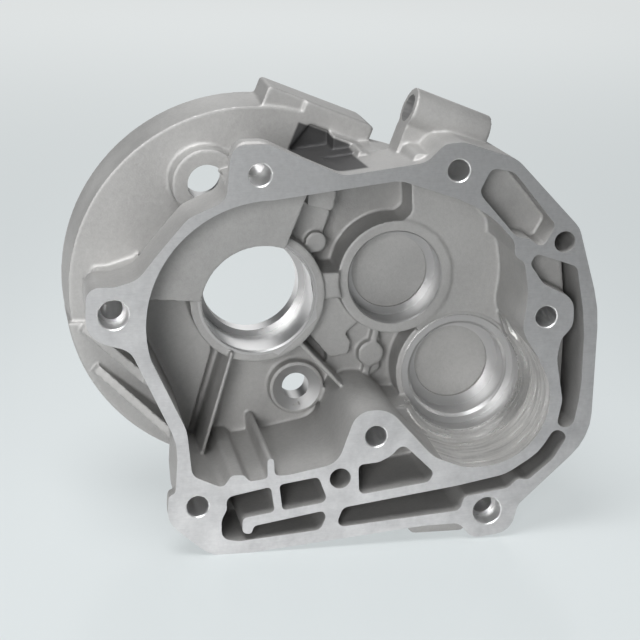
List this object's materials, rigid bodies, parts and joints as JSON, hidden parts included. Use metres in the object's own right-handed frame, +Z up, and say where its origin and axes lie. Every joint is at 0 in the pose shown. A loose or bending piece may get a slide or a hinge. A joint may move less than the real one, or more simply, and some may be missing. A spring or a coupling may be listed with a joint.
{
  "type": "scooter gearbox housing",
  "caption": "Die-cast aluminium scooter gearbox housing with bearing seats, a milled flange and a round drum brake backing plate behind.",
  "frame": {"origin": "centre of the wheel axle bearing seat, where its straight wall starts", "axes": "-Y out of the seat, square to the milled mating face, +Z up as in its picture"},
  "size_m": [0.2158, 0.0764, 0.1883],
  "materials": {
    "cast_aluminium": "satin"
  },
  "bodies": {
    "root": {"gearbox_housing": "cast_aluminium"}
  },
  "joints": []
}
